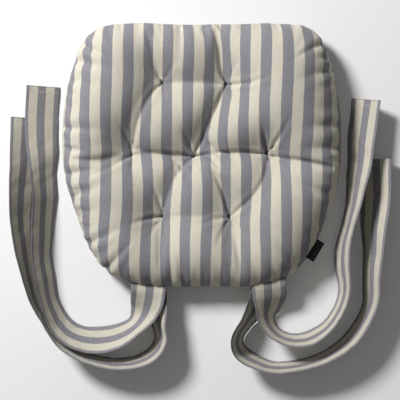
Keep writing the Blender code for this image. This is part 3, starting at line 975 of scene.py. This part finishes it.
def on_tie(name, along, offset):
    """The point of a tie's upper face at a distance along it and a distance across it."""
    *parts, reached = tie_frames(name)
    place, side, up = (interpolated(along, reached, part) for part in parts)
    lift = tie_wave(name, along, offset) + TIE_HALF_THICKNESS
    return place + side * offset + up * lift


def make_tie_stitches(name, tie, rows, material, replaced):
    """Rows of stitches across a tie's upper face, at the given distances along it."""
    reach = TIE_WIDTH / 2 - 0.0015
    offsets = np.linspace(-reach, reach, 60)
    up = tie_frames(tie)[2][-1]
    lines = []
    for along in rows:
        line = np.array([on_tie(tie, along, offset) for offset in offsets])
        lines += [arched(piece, up, TIE_THREAD * 0.7) for piece in stitched(line, *TIE_STITCHES)]
    return add_threads(name, lines, TIE_THREAD, material, [replaced])


def make_ties(cloth, thread):
    for side in RAISED_SIDE:
        for level in ("lower", "upper"):
            name = f"tie_{side}_{level}"
            tie, length = make_tie(name, cloth)
            rows = [length - row for row in HEM_ROWS]
            replaced = f"hem_stitch_{side}_{level}"
            hem = make_tie_stitches(f"{name}_hem", name, rows, thread, replaced)
        replaced = f"tie_anchor_stitch_{side}"
        make_tie_stitches(f"tie_anchor_{side}", f"tie_{side}_upper", ANCHOR_ROWS, thread, replaced)


# ---- the label


def make_label(cloth, thread):
    """A plain woven tab folded double, its open side sewn into the seam."""
    corners = np.array([tuple(v.co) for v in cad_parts["side_label"].data.vertices])
    plan = np.unique(np.round(corners[:, :2], 5), axis=0)
    plan = plan[np.argsort(np.hypot(plan[:, 0], plan[:, 1]))]
    near = plan[:2][np.argsort(plan[:2, 1])]
    far = plan[2:4][np.argsort(plan[2:4, 1])]
    along = near[1] - near[0]
    length = np.linalg.norm(along)
    along /= length
    out = far[0] - near[0]
    reach = np.linalg.norm(out)
    out /= reach
    height = corners[:, 2].mean()
    points = []
    places = []
    path = [(share * reach, LABEL_GAP / 2) for share in np.linspace(LABEL_INSIDE, LABEL_TURN, 10)]
    back = [(away, -lift) for away, lift in reversed(path)]
    for angle in np.linspace(math.pi / 2, -math.pi / 2, 7)[1:-1]:
        away = (LABEL_TURN + (1.0 - LABEL_TURN) * math.cos(angle)) * reach
        path.append((away, LABEL_GAP / 2 * math.sin(angle)))
    path += back
    for station in np.linspace(0.0, 1.0, LABEL_STATIONS):
        spot = near[0] + along * station * length
        for k, (away, lift) in enumerate(path):
            free = max(away / reach, 0.0)
            droop = LABEL_RIPPLE * free * math.sin(5.0 * station + 0.6) - LABEL_DROOP * free**2
            place = spot + out * away
            points.append((place[0], place[1], height + droop + lift))
            places.append((station * length, k * 0.001))
    faces = strip_faces(LABEL_STATIONS, len(path), False)
    mesh = mesh_from("side_tab", points, faces, cloth)
    store_cloth_place(mesh, np.array(places))
    label = add_piece("side_tab", mesh, ["side_label"])
    thicken(label, LABEL_LAYER, 0.0)
    row = []
    for share in (0.04, 0.5, 0.96):
        spot = near[0] + along * share * length + out * 0.0018
        row.append((*spot, height + 0.0009))
    row = stitched(np.array(row), *LABEL_STITCHES)
    pieces = [arched(piece, (0, 0, 1), LABEL_THREAD) for piece in row]
    add_threads("side_tab_stitches", pieces, LABEL_THREAD, thread, ["label_stitch"])


# ---- materials


def new_material(name):
    material = bpy.data.materials.new(name)
    material.use_nodes = True
    tree = material.node_tree
    return material, tree, tree.nodes["Principled BSDF"]


def add_node(tree, kind, inputs, **settings):
    made = tree.nodes.new(kind)
    for key, value in settings.items():
        setattr(made, key, value)
    for key, value in inputs.items():
        if isinstance(value, bpy.types.NodeSocket):
            tree.links.new(value, made.inputs[key])
        else:
            made.inputs[key].default_value = value
    return made


def calculate(tree, operation, first, second=0.0, third=0.0):
    inputs = {0: first, 1: second, 2: third}
    return add_node(tree, "ShaderNodeMath", inputs, operation=operation).outputs[0]


def wave(tree, place, pitch):
    return calculate(tree, "SINE", calculate(tree, "MULTIPLY", place, 2 * math.pi / pitch))


def mixed(tree, share, first, second):
    """A colour between two others, each a socket or three numbers."""
    first, second = ((*c, 1.0) if isinstance(c, tuple) else c for c in (first, second))
    inputs = {0: share, 6: first, 7: second}
    return add_node(tree, "ShaderNodeMix", inputs, data_type="RGBA").outputs[2]


def toned(colour, painted_shade_tone):
    return tuple(painted_shade_tone * part for part in colour)


def add_relief(tree, shader, height, strength, distance):
    inputs = {"Height": height, "Strength": strength, "Distance": distance}
    bump = add_node(tree, "ShaderNodeBump", inputs)
    tree.links.new(bump.outputs[0], shader.inputs["Normal"])


def set_inputs(shader, **values):
    """Sets the shader's own sockets, with underscores for the spaces in their names."""
    for key, value in values.items():
        shader.inputs[key.replace("_", " ")].default_value = value


def grain(tree, place, across, along, detail=2.0, low=0.3, high=0.7):
    """Noise with that many features a metre each way, stretched so that low to high is 0 to 1."""
    mapped = add_node(tree, "ShaderNodeMapping", {"Vector": place, "Scale": (across, along, 1.0)})
    inputs = {"Vector": mapped.outputs[0], "Scale": 1.0, "Detail": detail, "Roughness": 0.55}
    value = add_node(tree, "ShaderNodeTexNoise", inputs).outputs[0]
    inputs = {"Value": value, "From Min": low, "From Max": high}
    return add_node(tree, "ShaderNodeMapRange", inputs).outputs[0]


def striped_material(name, period, grey_share, start, painted_shade_tone):
    """Plain-woven cotton with grey melange stripes along the cloth."""
    material, tree, shader = new_material(name)
    place = add_node(tree, "ShaderNodeUVMap", {}, uv_map="cloth").outputs[0]
    split = add_node(tree, "ShaderNodeSeparateXYZ", {0: place})
    across, along = split.outputs[0], split.outputs[1]

    warp = grain(tree, place, 1250.0, 60.0)
    weft = grain(tree, place, 60.0, 1250.0)
    fleck = grain(tree, place, 650.0, 560.0)
    cloud = grain(tree, place, 34.0, 22.0, 3.0)

    # A stripe's edge wanders by about one yarn.
    shaken = calculate(tree, "MULTIPLY_ADD", weft, STRIPE_WANDER, across)
    shifted = calculate(tree, "SUBTRACT", shaken, start + STRIPE_WANDER / 2)
    turn = calculate(tree, "DIVIDE", shifted, period)
    within = calculate(tree, "FRACT", calculate(tree, "ADD", turn, TURNS_AHEAD))
    grey = calculate(tree, "LESS_THAN", within, grey_share)

    # Below 1 the painted shade tone darkens both yarns. This is painted shade, used for the ties.
    cream = mixed(tree, warp, toned(CREAM_DARK, painted_shade_tone), toned(CREAM_LIGHT, painted_shade_tone))
    slate = mixed(tree, fleck, toned(GREY_DARK, painted_shade_tone), toned(GREY_LIGHT, painted_shade_tone))
    colour = mixed(tree, grey, cream, slate)
    colour = mixed(tree, calculate(tree, "MULTIPLY", cloud, 0.07), colour, CLOUD_COLOUR)
    colour = mixed(tree, calculate(tree, "MULTIPLY", weft, 0.04), colour, WEFT_COLOUR)
    tree.links.new(colour, shader.inputs["Base Color"])

    # The weave: yarns over and under each other.
    over, under = wave(tree, across, YARN_PITCH), wave(tree, along, YARN_PITCH)
    weave = calculate(tree, "MULTIPLY", over, under)
    relief = calculate(tree, "MULTIPLY_ADD", weave, 0.5, calculate(tree, "ADD", fleck, warp))
    add_relief(tree, shader, relief, 0.35, 0.0002)
    roughness = calculate(tree, "MULTIPLY_ADD", fleck, 0.15, 0.80)
    tree.links.new(roughness, shader.inputs["Roughness"])
    set_inputs(shader, Specular_IOR_Level=0.2, Sheen_Weight=0.15, Sheen_Roughness=0.5)
    return material


def yarn_material(name, colours, features=3000.0, strength=0.6, roughness=0.7):
    """Spun thread or loose fibre: streaks of darker and lighter fibre, with relief."""
    material, tree, shader = new_material(name)
    place = add_node(tree, "ShaderNodeTexCoord", {}).outputs["Object"]
    streak = grain(tree, place, features, features * 0.6, 3.0)
    tree.links.new(mixed(tree, streak, *colours), shader.inputs["Base Color"])
    add_relief(tree, shader, streak, strength, 0.0002)
    set_inputs(shader, Roughness=roughness, Specular_IOR_Level=0.3, Sheen_Weight=0.2)
    return material


def label_material():
    """Tightly woven black tape with a fine rib along its length."""
    material, tree, shader = new_material("black_tape")
    place = add_node(tree, "ShaderNodeUVMap", {}, uv_map="cloth").outputs[0]
    along = add_node(tree, "ShaderNodeSeparateXYZ", {0: place}).outputs[0]
    rib = wave(tree, along, LABEL_RIB)
    lint = grain(tree, place, 900.0, 900.0, low=0.35, high=0.75)
    tree.links.new(mixed(tree, lint, *TAPE_COLOURS), shader.inputs["Base Color"])
    add_relief(tree, shader, calculate(tree, "ADD", rib, lint), 0.4, 0.0001)
    set_inputs(shader, Roughness=0.75, Specular_IOR_Level=0.15)
    return material


def floor_material():
    material, _, shader = new_material("pale_floor")
    colour = (*FLOOR_COLOUR, 1.0)
    set_inputs(shader, Base_Color=colour, Roughness=0.9, Specular_IOR_Level=0.1)
    return material


# ---- camera, light and floor


def add_camera():
    data = bpy.data.cameras.new("view")
    data.sensor_width = SENSOR_WIDTH
    data.lens = SENSOR_WIDTH * (CAMERA_HEIGHT - AIM[2]) / VIEW_WIDTH
    data.clip_end = 20.0
    camera = add_object("view", data)
    camera.location = (AIM[0], AIM[1], CAMERA_HEIGHT)
    bpy.context.scene.camera = camera


def add_light():
    data = bpy.data.lights.new("key", "AREA")
    data.shape = "DISK"
    data.size = KEY_SIZE
    data.energy = KEY_POWER
    key = add_object("key", data)
    key.location = KEY_PLACE
    towards = Vector((AIM[0], AIM[1], 0.0)) - key.location
    key.rotation_euler = towards.to_track_quat("-Z", "Y").to_euler()
    world = bpy.data.worlds.new("studio")
    world.use_nodes = True
    background = world.node_tree.nodes["Background"]
    background.inputs["Color"].default_value = (1.0, 1.0, 1.0, 1.0)
    background.inputs["Strength"].default_value = WORLD_STRENGTH
    bpy.context.scene.world = world
    bpy.context.scene.view_settings.view_transform = "Standard"


def add_floor():
    half = FLOOR_SIDE / 2
    corners = [(-half, -half, 0.0), (half, -half, 0.0), (half, half, 0.0), (-half, half, 0.0)]
    mesh = mesh_from("ground", corners, [(0, 1, 2, 3)], floor_material())
    ground = add_object("ground", mesh)
    ground.location.z = -FLOOR_DROP


# ---- everything


def build():
    add_camera()
    add_light()
    add_floor()
    pad_start = STRIPE_GREY_MIDDLE - STRIPE_GREY_SHARE * STRIPE_PERIOD / 2
    pad_cloth = striped_material("striped_cotton", STRIPE_PERIOD, STRIPE_GREY_SHARE, pad_start, 1.0)
    # The ties' cloth is painted darker than the pad's: painted shade.
    tie_cloth = striped_material(
        "tie_cotton", TIE_STRIPE_PERIOD, TIE_GREY_SHARE, TIE_STRIPE_START, TIE_PAINTED_SHADE_TONE
    )
    fibre = yarn_material("white_fibre", FIBRE_COLOURS, features=700.0, strength=0.8, roughness=0.9)
    thread = yarn_material("cotton_thread", THREAD_COLOURS)
    # The tufts' thread is painted near black: painted shade in the dimples' bottoms, on a real
    # thread.
    shade_dark_tuft_thread = yarn_material("shade_dark_tuft_thread", TUFT_THREAD_SHADE_COLOURS)
    black_thread = yarn_material("black_thread", BLACK_THREAD_COLOURS)

    flat, top_faces, bottom_faces, edge_count = sewn_panels()
    points = press_out(flat, top_faces, bottom_faces, edge_count)
    top = make_cover("top_cover_cloth", points, flat, top_faces, pad_cloth, True)
    bottom = make_cover("bottom_cover_cloth", points, flat, bottom_faces, pad_cloth, False)
    make_filling(points, flat, top_faces + bottom_faces, fibre)
    graph = bpy.context.evaluated_depsgraph_get()
    make_tufts(BVHTree.FromObject(top, graph), BVHTree.FromObject(bottom, graph), shade_dark_tuft_thread)
    seam = points[:edge_count]
    seam = (np.roll(seam, 1, axis=0) + 6 * seam + np.roll(seam, -1, axis=0)) / 8
    make_seam_threads(seam, thread)
    make_ties(tie_cloth, thread)
    make_label(label_material(), black_thread)


build()
